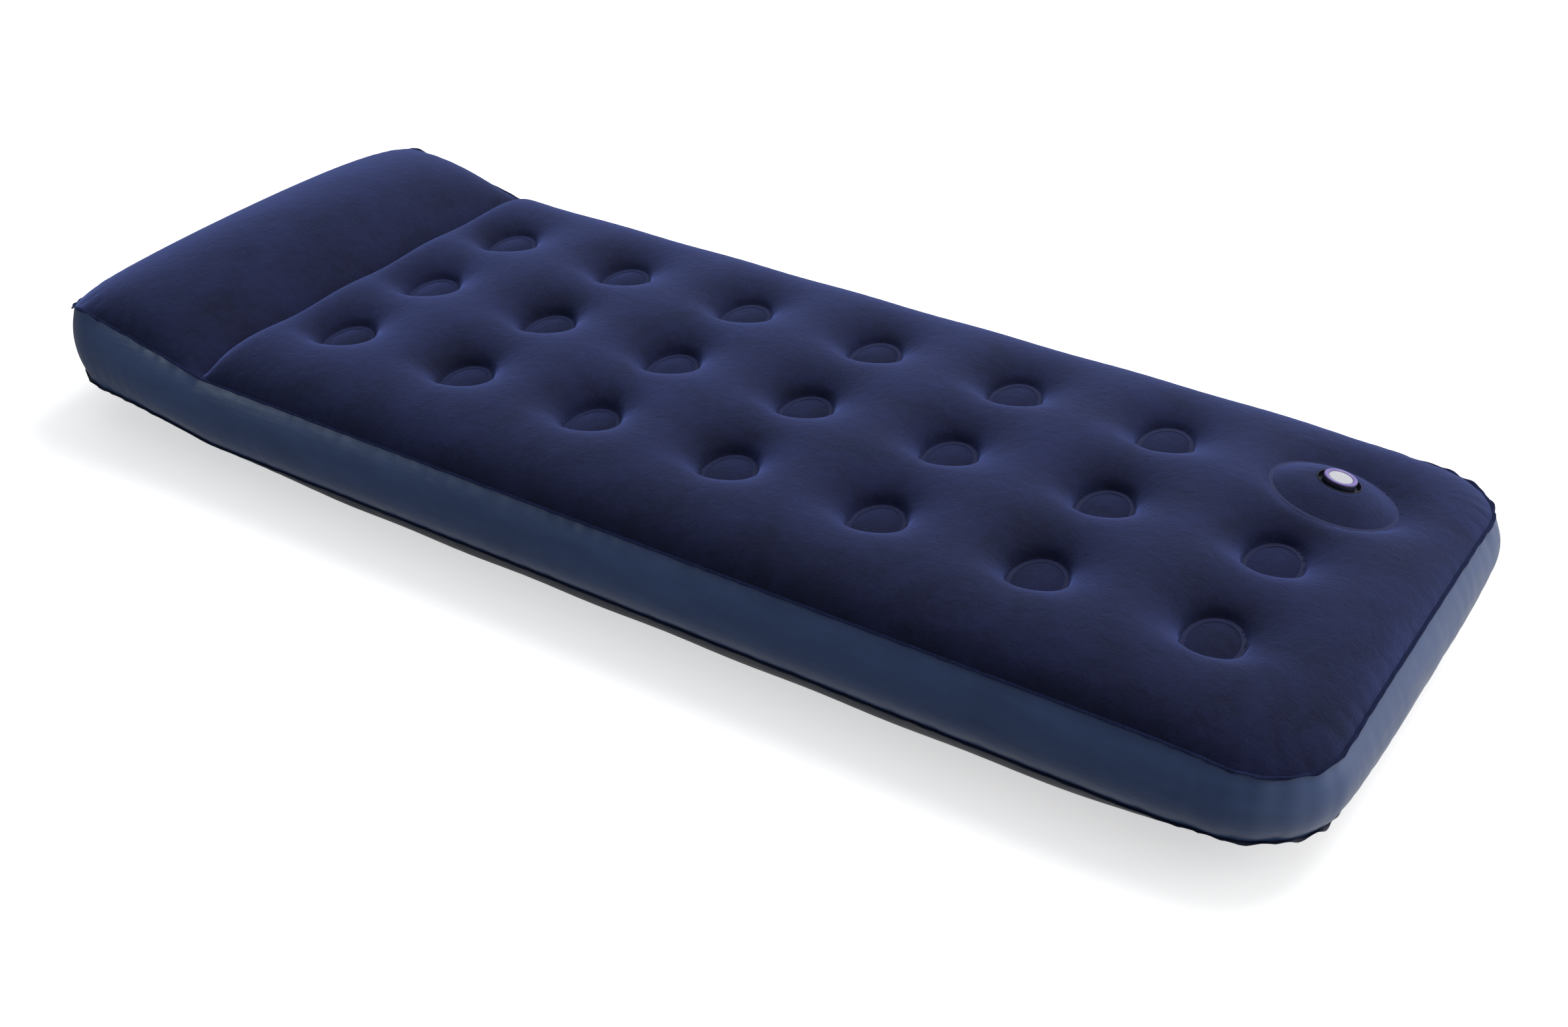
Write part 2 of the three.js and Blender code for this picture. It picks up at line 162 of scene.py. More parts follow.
def nearest(x, y):
    """The arc length of the outline point nearest to (x, y), and how far inside the outline it lies."""
    u, v = abs(x) - SIDE_RUN, abs(y) - END_RUN
    beyond_u, beyond_v = np.maximum(u, 0), np.maximum(v, 0)
    inside = BEND_RADIUS - np.hypot(beyond_u, beyond_v) - np.minimum(np.maximum(u, v), 0)
    on_bend = END_RUN + BEND_RADIUS * np.arctan2(beyond_v, beyond_u)
    on_side = END_RUN + BEND_RUN - u
    in_bend = (u > 0) & (v > 0)
    run = np.where(in_bend, on_bend, np.where(u > v, abs(y), on_side))
    head = np.where(y >= 0, 2 * QUARTER - run, 2 * QUARTER + run)
    foot = np.where(y >= 0, run, ROUND - run)
    return np.where(x >= 0, foot, head), inside


def smooth(t):
    t = np.clip(t, 0, 1)
    return t * t * (3 - 2 * t)


def upper_lift(x):
    """The upper seam climbs from the crease to three quarters of the way along the pillow, then dips
    to the head."""
    t = np.clip((CREASE_X - x) / (CREASE_X + HALF_X), 0, 1)
    climb = PILLOW_RISE * (np.minimum(t, 0.75) / 0.75) ** 0.85
    return climb - HEAD_DIP * smooth((t - 0.72) / 0.28)


def lower_lift(x):
    """The lower seam climbs evenly and levels off near the head."""
    t = np.clip((CREASE_X - x) / (CREASE_X + HALF_X), 0, 1)
    return LOWER_RISE * np.sin(t * np.pi / 2)


def cornering(s):
    """1 in the middle of a rounded corner, dying away along the straights."""
    _, run = quarter_of(s)
    return np.exp(-(((run - END_RUN - BEND_RUN / 2) / 0.1) ** 2))


def upper_edge(x, s):
    """Height of the upper seam, which is drawn down a little round the two corners of the pump end."""
    return UPPER_SEAM + upper_lift(x) - np.where(x > 0, CORNER_DROP * cornering(s), 0)


def lower_edge(x, s):
    """Height of the lower seam, which is drawn up a little round the same corners."""
    return LOWER_SEAM + lower_lift(x) + np.where(x > 0, CORNER_RISE * cornering(s), 0)


def gathers(s, count, phase):
    """Rounded swells with sharp valleys between: the size of a sine whose spacing drifts, `count`
    swells round the bed, and some of them weaker than others. The mean is about zero."""
    turn = 2 * np.pi * s / ROUND
    drift = 1.6 * np.sin(3 * turn + phase) + 1.1 * np.sin(8 * turn + 2.3 * phase)
    drift = drift + 0.7 * np.sin(19 * turn - phase)
    swell = 2 * abs(np.sin(count * turn / 2 + drift)) - 4 / np.pi
    strength = 0.65 + 0.35 * np.sin(13 * turn + 3.1 * phase) * np.sin(29 * turn + phase)
    return swell * strength


def gather_size(s, straight, corner):
    return straight + (corner - straight) * cornering(s)


def seam_gathers(s, level):
    """How far the gathers push a seam in and out, how far they lift it, and the wave of the first.
    Level 0 is the lower seam and 1 the upper one."""
    wave = gathers(s, 150 + 22 * level, 1.0 + level)
    slow = gathers(s, 46, 2.0 + level)
    return gather_size(s, 0.0003, 0.0008) * wave, gather_size(s, 0.0003, 0.0007) * slow, wave


def seam(s, level):
    """The seam line at arc length s: the outline, moved by the gathers of that level."""
    x, y, out_x, out_y = outline(s)
    push, rise, _ = seam_gathers(s, level)
    base = upper_edge(x, s) if level else lower_edge(x, s)
    return x + push * out_x, y + push * out_y, base + rise


# ---- Mesh helpers --------------------------------------------------------------------------------
RIB_FOOT = 0.0175


def put_mesh(name, points, faces, slot, body, sharp=None, finish=None):
    """A piece from its points and faces, riding on a body and shaded smooth up to the `sharp` angle.
    Its finish is the slot's own, unless another one of that slot is named."""
    mesh = bpy.data.meshes.new(name)
    mesh.from_pydata(points.tolist(), [], faces.tolist())
    if sharp is not None:
        shape = bmesh.new()
        shape.from_mesh(mesh)
        bmesh.ops.remove_doubles(shape, verts=shape.verts, dist=1e-6)
        shape.to_mesh(mesh)
        shape.free()
    mesh.polygons.foreach_set("use_smooth", np.ones(len(mesh.polygons), bool))
    if sharp is not None:
        mesh.set_sharp_from_angle(angle=np.radians(sharp))
    mesh.materials.append(FINISHES[finish or slot])
    piece = bpy.data.objects.new(name, mesh)
    bpy.context.scene.collection.objects.link(piece)
    if body:
        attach(piece, body)
    return piece


def grid_faces(rows, columns, close_rows=False, close_columns=False):
    """The quads of a grid of points, each turned so that columns x rows points outwards."""
    i = np.arange(rows if close_rows else rows - 1)[:, None]
    j = np.arange(columns if close_columns else columns - 1)[None, :]
    up, on = (i + 1) % rows, (j + 1) % columns
    corners = [i * columns + j, i * columns + on, up * columns + on, up * columns + j]
    return np.stack(np.broadcast_arrays(*corners), -1).reshape(-1, 4)


def turned_piece(
    name, profile, slot, body, place, axis, sharp=40, around=96, ribs=0, rib_depth=0.0, finish=None
):
    """A solid of revolution: the closed [radius, height] outline in millimetres is carried round the
    axis from `place`. Points of a ribbed piece past RIB_FOOT go in and out `ribs` times a turn."""
    radius, height = np.array(profile, float).T / 1000
    angle = np.linspace(0, 2 * np.pi, around, endpoint=False)
    radius = np.repeat(radius[:, None], around, 1)
    if ribs:
        groove = rib_depth * (0.5 + 0.5 * np.cos(ribs * angle)) ** 2
        radius = radius - np.where(radius > RIB_FOOT, groove, 0)
    turn = Vector((0, 0, 1)).rotation_difference(axis).to_matrix()
    local = np.stack([radius * np.cos(angle), radius * np.sin(angle), height[:, None] + 0 * radius], -1)
    points = local.reshape(-1, 3) @ np.array(turn).T + np.array(place)
    faces = grid_faces(len(profile), around, close_rows=True, close_columns=True)
    piece = put_mesh(name, points, faces, slot, body, sharp, finish)
    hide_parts(name)
    return piece


def rounded(profile, radius=0.6, steps=4):
    """Rounds every corner of a closed [radius, height] outline with a short quadratic curve, except the
    corners on the axis."""
    points = np.array(profile, float)
    made = []
    for k, corner in enumerate(points):
        before, after = points[k - 1] - corner, points[(k + 1) % len(points)] - corner
        reach = min(radius, np.hypot(*before) * 0.45, np.hypot(*after) * 0.45)
        if corner[0] < 1e-6:
            made.append(corner)
            continue
        start = corner + before / np.hypot(*before) * reach
        end = corner + after / np.hypot(*after) * reach
        t = np.linspace(0, 1, steps)[:, None]
        made.extend((1 - t) ** 2 * start + 2 * t * (1 - t) * corner + t**2 * end)
    return made


# ---- Finishes ------------------------------------------------------------------------------------
class Finish:
    """A Principled material whose patterns are worked out from object coordinates."""

    def __init__(self, name, **uniform):
        self.material = bpy.data.materials.new(name)
        self.material.use_nodes = True
        self.tree = self.material.node_tree
        self.shader = self.tree.nodes["Principled BSDF"]
        self.place = self.add("ShaderNodeTexCoord").outputs["Object"]
        for socket, value in uniform.items():
            self.shader.inputs[socket.replace("_", " ")].default_value = value

    def add(self, kind, inputs=(), **settings):
        node = self.tree.nodes.new(kind)
        for key, value in settings.items():
            setattr(node, key, value)
        for key, value in dict(inputs).items():
            if isinstance(value, bpy.types.NodeSocket):
                self.tree.links.new(value, node.inputs[key])
            else:
                node.inputs[key].default_value = value
        return node

    def link(self, value, socket):
        self.tree.links.new(value, self.shader.inputs[socket])

    def noise(self, scale, detail=2.0, roughness=0.5, stretch=(1, 1, 1), distortion=0.0):
        mapped = self.add("ShaderNodeMapping", {"Vector": self.place, "Scale": stretch})
        settings = {"Scale": scale, "Detail": detail, "Roughness": roughness, "Distortion": distortion}
        return self.add("ShaderNodeTexNoise", {"Vector": mapped.outputs[0], **settings}).outputs["Fac"]

    def spread(self, value, low, high, to_low=0.0, to_high=1.0):
        """Maps low..high of a value to to_low..to_high, held at the ends."""
        limits = {"Value": value, "From Min": low, "From Max": high, "To Min": to_low, "To Max": to_high}
        return self.add("ShaderNodeMapRange", limits).outputs[0]

    def mix(self, share, first, second):
        node = self.add("ShaderNodeMix", data_type="RGBA")
        for index, value in ((0, share), (6, first), (7, second)):
            if isinstance(value, bpy.types.NodeSocket):
                self.tree.links.new(value, node.inputs[index])
            else:
                node.inputs[index].default_value = value if index == 0 else (*value, 1)
        return node.outputs[2]

    def total(self, *parts):
        """The sum of (value, weight) parts."""
        sum_so_far = None
        for value, weight in parts:
            scaled = self.add("ShaderNodeMath", {0: value, 1: weight}, operation="MULTIPLY").outputs[0]
            if sum_so_far is None:
                sum_so_far = scaled
            else:
                sum_so_far = self.add("ShaderNodeMath", {0: sum_so_far, 1: scaled}).outputs[0]
        return sum_so_far

    def bump(self, height, distance, strength=1.0):
        node = self.add("ShaderNodeBump", {"Height": height, "Distance": distance, "Strength": strength})
        self.link(node.outputs[0], "Normal")


def flocked_sheet():
    """Dense short nylon pile: near black face on, blue where it is seen along the pile, and brushed
    in patches."""
    flock = Finish(
        "flocked_sheet",
        Specular_IOR_Level=0.15,
        Sheen_Weight=1.0,
        Sheen_Roughness=0.42,
        Sheen_Tint=(0.16, 0.22, 0.62, 1),
    )
    patches = flock.noise(11, detail=3, distortion=0.6)
    strokes = flock.noise(75, detail=5, roughness=0.62, distortion=0.5)
    pile = flock.noise(950, detail=2)
    tufts = flock.noise(330, detail=3)
    nap = flock.total((patches, 0.5), (strokes, 0.3), (tufts, 0.2))
    lie = flock.spread(nap, 0.38, 0.62)
    colour = flock.mix(lie, (0.0052, 0.0068, 0.021), (0.0125, 0.0158, 0.052))
    lint = flock.spread(flock.noise(520, detail=1), 0.80, 0.84)
    flock.link(flock.mix(lint, colour, (0.05, 0.06, 0.12)), "Base Color")
    flock.link(flock.spread(nap, 0.3, 0.7, 0.86, 1.0), "Roughness")
    relief = flock.total((pile, 0.5), (tufts, 0.6), (strokes, 1.5), (patches, 1.5))
    flock.bump(relief, 0.0008, 0.8)
    return flock.material


def pressed_flock():
    """Flock crushed flat by a weld: smoother, a little paler and less velvety than the sheet round it."""
    flock = Finish(
        "pressed_flock",
        Specular_IOR_Level=0.15,
        Sheen_Weight=1.0,
        Sheen_Roughness=0.45,
        Sheen_Tint=(0.15, 0.20, 0.56, 1),
    )
    worn = flock.noise(120, detail=3)
    grain = flock.noise(700, detail=2)
    share = flock.spread(worn, 0.3, 0.7)
    flock.link(flock.mix(share, (0.0075, 0.0100, 0.034), (0.0135, 0.0180, 0.058)), "Base Color")
    flock.link(flock.spread(worn, 0.3, 0.7, 0.62, 0.8), "Roughness")
    flock.bump(flock.total((worn, 0.5), (grain, 0.5)), 0.0003, 0.5)
    return flock.material


def seam_edge():
    """The cut edge of the upper weld: flock melted into the vinyl, dull and nearly black."""
    edge = Finish(
        "seam_edge",
        Specular_IOR_Level=0.05,
        Sheen_Weight=0.3,
        Sheen_Roughness=0.5,
        Sheen_Tint=(0.15, 0.20, 0.56, 1),
    )
    melt = edge.noise(260, detail=3)
    share = edge.spread(melt, 0.35, 0.7)
    edge.link(edge.mix(share, (0.0045, 0.0065, 0.022), (0.0100, 0.0140, 0.050)), "Base Color")
    edge.link(edge.spread(melt, 0.3, 0.7, 0.7, 0.9), "Roughness")
    edge.bump(melt, 0.0004, 0.6)
    return edge.material


def band_vinyl():
    """Slate-blue calendered vinyl: a soft gloss over fine pebbling, faint stretch marks and dull hand
    smears."""
    vinyl = Finish("band_vinyl", Specular_IOR_Level=0.38)
    cloud = vinyl.noise(6, detail=3, distortion=0.4)
    smears = vinyl.noise(24, detail=4, roughness=0.65, stretch=(0.5, 0.5, 2.2))
    pebble = vinyl.noise(1500, detail=1)
    stretch = vinyl.noise(140, detail=3, stretch=(0.16, 0.16, 1.6))
    tone = vinyl.spread(vinyl.total((cloud, 0.5), (smears, 0.5)), 0.35, 0.65)
    vinyl.link(vinyl.mix(tone, (0.040, 0.072, 0.175), (0.054, 0.096, 0.230)), "Base Color")
    vinyl.link(vinyl.spread(smears, 0.3, 0.7, 0.30, 0.44), "Roughness")
    vinyl.bump(vinyl.total((pebble, 0.08), (stretch, 0.5), (smears, 1.2)), 0.0010, 0.4)
    return vinyl.material


def underside_vinyl():
    """Darker, duller vinyl with a ground-in dusting and fine creases."""
    vinyl = Finish("underside_vinyl", Specular_IOR_Level=0.4)
    dust = vinyl.noise(14, detail=5, roughness=0.7)
    creases = vinyl.noise(70, detail=4, distortion=1.2)
    pebble = vinyl.noise(1100, detail=1)
    tone = vinyl.spread(dust, 0.35, 0.75)
    vinyl.link(vinyl.mix(tone, (0.009, 0.014, 0.038), (0.018, 0.026, 0.056)), "Base Color")
    vinyl.link(vinyl.spread(dust, 0.3, 0.8, 0.42, 0.62), "Roughness")
    vinyl.bump(vinyl.total((creases, 1.0), (pebble, 0.1)), 0.0010, 0.5)
    return vinyl.material


def inner_vinyl():
    """Milky clear vinyl of the coils, baffle, pump cup and check flap, slightly rippled."""
    vinyl = Finish("inner_vinyl", Specular_IOR_Level=0.5)
    ripple = vinyl.noise(60, detail=3, stretch=(1, 1, 0.3))
    tone = vinyl.spread(ripple, 0.3, 0.7)
    vinyl.link(vinyl.mix(tone, (0.24, 0.27, 0.33), (0.34, 0.37, 0.43)), "Base Color")
    vinyl.link(vinyl.spread(ripple, 0.3, 0.7, 0.28, 0.4), "Roughness")
    vinyl.bump(ripple, 0.0008, 0.5)
    return vinyl.material


def open_foam():
    """Open-cell cream foam: pores of two sizes, its cream painted darker down in the pores as painted
    shade, and paler on the cell walls.
    """
    foam = Finish("pump_foam", Specular_IOR_Level=0.2)
    pores = foam.add("ShaderNodeTexVoronoi", {"Vector": foam.place, "Scale": 620.0}).outputs["Distance"]
    lumps = foam.noise(120, detail=4)
    pore_depth_and_shade = foam.total((pores, 1.0), (lumps, 0.3))
    # The cream follows the bump's depth: painted shade down in the pores, with a random tone from the
    # lumps.
    foam.link(foam.mix(foam.spread(pore_depth_and_shade, 0.2, 0.8), (0.36, 0.32, 0.20), (0.62, 0.58, 0.42)), "Base Color")
    foam.link(foam.spread(lumps, 0.3, 0.7, 0.88, 1.0), "Roughness")
    foam.bump(pore_depth_and_shade, 0.0009, 0.9)
    return foam.material


def moulded(name, dark, light, rough_low, rough_high, grain=900):
    """Moulded plastic: even colour with faint flow marks and a fine spark texture."""
    plastic = Finish(name, Specular_IOR_Level=0.5)
    flow = plastic.noise(45, detail=3, distortion=0.8)
    spark = plastic.noise(grain, detail=2)
    plastic.link(plastic.mix(plastic.spread(flow, 0.3, 0.7), dark, light), "Base Color")
    wear = plastic.total((flow, 0.6), (spark, 0.4))
    plastic.link(plastic.spread(wear, 0.3, 0.7, rough_low, rough_high), "Roughness")
    plastic.bump(plastic.total((spark, 0.6), (flow, 0.4)), 0.00012, 0.6)
    return plastic.material


def soft_rubber():
    """Matt black rubber with a bloom on it."""
    rubber = Finish("black_rubber", Specular_IOR_Level=0.35)
    bloom = rubber.noise(90, detail=4)
    dusted = rubber.spread(bloom, 0.4, 0.75)
    rubber.link(rubber.mix(dusted, (0.006, 0.007, 0.008), (0.022, 0.023, 0.026)), "Base Color")
    rubber.link(rubber.spread(bloom, 0.3, 0.7, 0.6, 0.8), "Roughness")
    rubber.bump(bloom, 0.0002, 0.5)
    return rubber.material


FINISHES = {
    "flocked_sheet": flocked_sheet(),
    "pressed_flock": pressed_flock(),
    "seam_edge": seam_edge(),
    "band_vinyl": band_vinyl(),
    "underside_vinyl": underside_vinyl(),
    "inner_vinyl": inner_vinyl(),
    "pump_foam": open_foam(),
    "navy_plastic": moulded("navy_plastic", (0.0050, 0.0075, 0.024), (0.0080, 0.0115, 0.034), 0.36, 0.48),
    "lilac_plastic": moulded("lilac_plastic", (0.155, 0.115, 0.36), (0.185, 0.14, 0.41), 0.26, 0.36),
    "pale_grey_plastic": moulded("pale_grey_plastic", (0.42, 0.43, 0.47), (0.50, 0.51, 0.55), 0.36, 0.46),
    "black_rubber": soft_rubber(),
}


# ---- Blown-up sheets -----------------------------------------------------------------------------
STEP = 0.0025
SHEET_SPACING = 0.004
UNDER_SPACING = 0.007
FIELD_X = np.linspace(-HALF_X, HALF_X, round(2 * HALF_X / STEP) + 1)
FIELD_Y = np.linspace(-HALF_Y, HALF_Y, round(2 * HALF_Y / STEP) + 1)


def blow_up(height, free, load, rounds=16, sweeps=40, relax=1.9):
    """The height of a taut sheet with air behind it. Each free point settles at the weighed mean of its
    four neighbours plus the load's share. A link weighs one over the root of one plus its slope squared,
    so that the sheet turns through arcs and stands steep at what holds it. The chequered sweeps
    overshoot to settle sooner."""
    push = (load * STEP**2)[1:-1, 1:-1]
    odd = (np.add.outer(np.arange(height.shape[0]), np.arange(height.shape[1])) % 2)[1:-1, 1:-1]
    inner = height[1:-1, 1:-1]
    for _ in range(rounds):
        slope_y, slope_x = np.gradient(height, STEP)
        weight = np.maximum(1 / np.sqrt(1 + slope_x**2 + slope_y**2), 0.22)
        here = weight[1:-1, 1:-1]
        north, south = here + weight[2:, 1:-1], here + weight[:-2, 1:-1]
        east, west = here + weight[1:-1, 2:], here + weight[1:-1, :-2]
        total = north + south + east + west
        north, south, east, west = north / total, south / total, east / total, west / total
        settled = 2 * push / total
        steps = [relax * (free[1:-1, 1:-1] & (odd == parity)) for parity in (0, 1)]
        for _ in range(sweeps):
            for step in steps:
                mean = north * height[2:, 1:-1] + south * height[:-2, 1:-1]
                mean += east * height[1:-1, 2:] + west * height[1:-1, :-2]
                inner += step * (mean + settled - inner)
    return height


def ring_reach(x, y, cx, cy, out=0.0):
    """How far (x, y) is from a dimple's middle, as a share of its oval weld ring grown by `out`."""
    return np.hypot((x - cx) / (RING_X + out), (y - cy) / (RING_Y + out))


def dimple_plane(y, cy):
    return DIMPLE_Z + DIMPLE_TILT * (y - cy)


def pump_plane(x, y):
    """Height of the pump's tilted seat at (x, y)."""
    return PUMP.z - (PUMP_AXIS.x * (x - PUMP.x) + PUMP_AXIS.y * (y - PUMP.y + MID_Y)) / PUMP_AXIS.z


def pump_reach(x, y):
    """Distance from the pump's axis, measured in its tilted plane."""
    away = np.stack([x - PUMP.x, y + MID_Y - PUMP.y, pump_plane(x, y) - PUMP.z], -1)
    return np.linalg.norm(away, axis=-1)


def fading(distance, reach):
    return np.exp(-((distance / reach) ** 2))


def air_load(x, y, inside):
    """The load on the upper sheets, greater where a weld draws them in: beside the crease, at the rims,
    round the coil rings, in a fold along the near side of each ring, and on the near side of the pump."""
    along_pillow = (x - (CREASE_X - HALF_X) / 2) / ((CREASE_X + HALF_X) / 2)
    pillow = PILLOW_LOAD + 1.8 * along_pillow + 5 * fading(HALF_Y - abs(y), 0.05)
    pillow = pillow + 9 * fading(inside, 0.04)
    main = MAIN_LOAD + 40 * fading(x - CREASE_X, 0.03) + 12 * fading(inside, 0.04)
    load = np.where(x < CREASE_X, pillow, main)
    for cx, cy in COIL_PLACES:
        from_ring = np.maximum(ring_reach(x, y, cx, cy, RING_WIDTH / 2) - 1, 0) * RING_Y
        fold = fading(y - (cy - RING_Y - 0.018), 0.014) * np.exp(-(((x - cx) / 0.05) ** 4))
        load = load + 22 * fading(from_ring, 0.012) + 15 * fold
    near_pump = smooth((PUMP.y - MID_Y - y) / 0.06)
    return load + 30 * near_pump * fading(pump_reach(x, y) - PUMP_SEAT, 0.018)


def top_field():
    """The upper sheets: held at the outline, the crease, the coil rings and the pump's seat, and blown
    up between."""
    x, y = np.meshgrid(FIELD_X, FIELD_Y)
    s, inside = nearest(x, y)
    free = inside > 1e-6
    height = np.where(free, 0.17, upper_edge(x, s) + 1.3 * np.minimum(inside, 0))
    crease = (abs(x - CREASE_X) < STEP / 2) & free
    height[crease] = CREASE_Z + (UPPER_SEAM - CREASE_Z) * smooth((abs(y[crease]) - 0.25) / 0.08)
    free &= ~crease
    for cx, cy in COIL_PLACES:
        held = ring_reach(x, y, cx, cy, RING_WIDTH / 2) < 1
        height[held] = dimple_plane(y[held], cy)
        free &= ~held
    seat = pump_reach(x, y) < PUMP_SEAT
    height[seat] = pump_plane(x[seat], y[seat])
    free &= ~seat
    return blow_up(height, free, air_load(x, y, inside))


def bottom_field():
    """The lower sheet: held at the outline, the baffle's foot and the coil feet, sagging between onto
    the floor."""
    x, y = np.meshgrid(FIELD_X, FIELD_Y)
    s, inside = nearest(x, y)
    free = inside > 1e-6
    height = np.where(free, 0.004, lower_edge(x, s) - 1.1 * np.minimum(inside, 0))
    crease = (abs(x - CREASE_X) < STEP / 2) & free
    baffle_foot = [0.001, 0.006, 0.017, LOWER_SEAM]
    height[crease] = np.interp(abs(y[crease]), [0.255, 0.285, 0.305, 0.33], baffle_foot)
    free &= ~crease
    for cx, cy in COIL_PLACES:
        held = ring_reach(x, y, cx, cy) < 1
        height[held] = DIMPLE_FEET_Z
        free &= ~held
    load = np.where(x < CREASE_X, -5.0, -9.0)
    return np.maximum(blow_up(height, free, load), FLOOR_CLEAR)


def sample(field, x, y):
    """The field's height at any (x, y), weighing the four grid points around it."""
    u = np.clip((x + HALF_X) / STEP, 0, len(FIELD_X) - 1.001)
    v = np.clip((y + HALF_Y) / STEP, 0, len(FIELD_Y) - 1.001)
    i, j = v.astype(int), u.astype(int)
    b, a = v - i, u - j
    low = field[i, j] * (1 - a) + field[i, j + 1] * a
    high = field[i + 1, j] * (1 - a) + field[i + 1, j + 1] * a
    return low * (1 - b) + high * b


def across_rows(spacing):
    """Y of the rows of a sheet: even on the straight ends, by equal turns round the corners."""
    flat = np.linspace(-END_RUN, END_RUN, round(2 * END_RUN / spacing) + 1)
    turn = np.linspace(0, np.pi / 2, round(BEND_RUN / spacing) + 1)[1:]
    bend = END_RUN + BEND_RADIUS * np.sin(turn)
    return np.concatenate([-bend[::-1], flat, bend])


def end_of_row(y):
    """Half the outline's length in X at each Y."""
    over = np.clip((abs(y) - END_RUN) / BEND_RADIUS, 0, 1)
    return SIDE_RUN + BEND_RADIUS * np.sqrt(1 - over**2)


def row_shares(length, spacing, tight_start, tight_end):
    """Shares of the way along a row, even in the middle and closer together at a rim."""
    t = np.linspace(0, 1, round(length / spacing) + 1)
    if tight_start:
        t = t - 0.022 * np.sin(np.pi * np.clip(t / 0.12, 0, 1)) * (1 - t)
    if tight_end:
        t = t + 0.022 * np.sin(np.pi * np.clip((1 - t) / 0.12, 0, 1)) * t
    return t


def snap_radius(x, y, cx, cy, reach, edge, slack):
    """Moves the points that are nearly at a round edge onto it, so that the edge comes out crisp."""
    grow = np.where(abs(reach - edge) < slack, edge / np.maximum(reach, 1e-9), 1)
    return cx + (x - cx) * grow, cy + (y - cy) * grow


def crowd_radius(x, y, cx, cy, reach, span):
    """Draws the points just outside a round edge of reach 1 in towards it, where the sheet is steepest."""
    share = np.clip((reach - 1) / span, 0, 1)
    grow = np.where((share > 0) & (share < 1), (1 + span * share**1.6) / np.maximum(reach, 1e-9), 1)
    return cx + (x - cx) * grow, cy + (y - cy) * grow


def smooth_wall(x, y, z, cx, cy):
    """Lays the sheet in and around a dimple: a shallow domed disc, the flat tilted ring, and outside it
    an even climb to the height of the blown-up field a few millimetres away."""
    outer = ring_reach(x, y, cx, cy, RING_WIDTH / 2)
    disc = ring_reach(x, y, cx, cy, -RING_WIDTH / 2)
    wall = 1 + WALL_REACH / RING_Y
    held = outer <= 1
    z[held] = dimple_plane(y[held], cy) + DISC_RISE * np.maximum(1 - disc[held] ** 2, 0)
    near = (outer > 1) & (outer < wall)
    grow = wall / outer[near]
    away = sample(TOP, cx + (x[near] - cx) * grow, cy + (y[near] - cy) * grow)
    share = (outer[near] - 1) / (wall - 1)
    level = dimple_plane(y[near], cy)
    z[near] = level + (away - level) * share * (1.7 - 0.7 * share)


def sheet_gathers(s, inside, level):
    """How far a sheet's gathers push it outwards and upwards: deep at the seam and gone a few
    centimetres in."""
    push, rise, wave = seam_gathers(s, level)
    fine = gathers(s, 118, 4.0 + level)
    reach = gather_size(s, 0.010, 0.022)
    fade = np.exp(-np.maximum(inside, 0) / reach)
    belly = gather_size(s, 0.0009, 0.0018) * (fade - np.exp(-np.maximum(inside, 0) / (reach / 3)))
    return push * fade, rise * fade + belly * (0.7 * wave + 0.6 * fine)


TOP = top_field()


def sheet_points(x, y, field, level, sign):
    """Lays (x, y) on a blown-up field and adds the gathers near the seam."""
    s, inside = nearest(x, y)
    _, _, out_x, out_y = outline(s)
    push, rise = sheet_gathers(s, inside, level)
    z = sample(field, x, y)
    if level:
        for cx, cy in COIL_PLACES:
            smooth_wall(x, y, z, cx, cy)
    return np.stack([x + push * out_x, y + push * out_y + MID_Y, z + sign * rise], -1)


def main_sheet():
    """The sleeping surface, from the crease to the pump end, with a hole under the pump."""
    y = across_rows(SHEET_SPACING)[:, None]
    share = row_shares(1.51, SHEET_SPACING, False, True)[None, :]
    x = CREASE_X + (end_of_row(y) - CREASE_X) * share
    y = np.broadcast_to(y, x.shape)
    half = RING_WIDTH / 2
    for cx, cy in COIL_PLACES:
        for out in (-half, half):
            x, y = snap_radius(x, y, cx, cy, ring_reach(x, y, cx, cy, out), 1, 0.05)
        x, y = crowd_radius(x, y, cx, cy, ring_reach(x, y, cx, cy, half), 0.6)
    reach = pump_reach(x, y)
    x, y = snap_radius(x, y, PUMP.x, PUMP.y - MID_Y, reach, PUMP_HOLE, 0.0022)
    open_hole = pump_reach(x, y).ravel() < PUMP_HOLE - 1e-4
    faces = grid_faces(*x.shape)
    faces = faces[~open_hole[faces].any(1)]
    points = sheet_points(x, y, TOP, 1, 1).reshape(-1, 3)
    used = np.unique(faces)
    renumber = np.zeros(len(points), int)
    renumber[used] = np.arange(len(used))
    piece = put_mesh("main_top_sheet", points[used], renumber[faces], "flocked_sheet", "bed")
    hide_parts("main_top_sheet")


def pillow_sheet():
    """The raised pillow, from the head to the crease."""
    y = across_rows(SHEET_SPACING)[:, None]
    share = row_shares(0.295, SHEET_SPACING, False, True)[None, ::-1]
    x = CREASE_X - (end_of_row(y) + CREASE_X) * share
    points = sheet_points(x, np.broadcast_to(y, x.shape), TOP, 1, 1)
    piece = put_mesh("pillow_panel", points.reshape(-1, 3), grid_faces(*x.shape), "flocked_sheet", "bed")
    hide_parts("pillow_panel")


def under_sheet():
    """The bottom sheet, its faces turned to the floor."""
    y = across_rows(UNDER_SPACING)[:, None]
    x = end_of_row(y) * (2 * row_shares(1.81, UNDER_SPACING, True, True)[None, :] - 1)
    points = sheet_points(x, np.broadcast_to(y, x.shape), bottom_field(), 0, -1)
    points[..., 2] = np.maximum(points[..., 2], FLOOR_CLEAR)
    faces = grid_faces(*x.shape)[:, ::-1]
    piece = put_mesh("bottom_sheet", points.reshape(-1, 3), faces, "underside_vinyl", "bed")
    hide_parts("bottom_sheet")


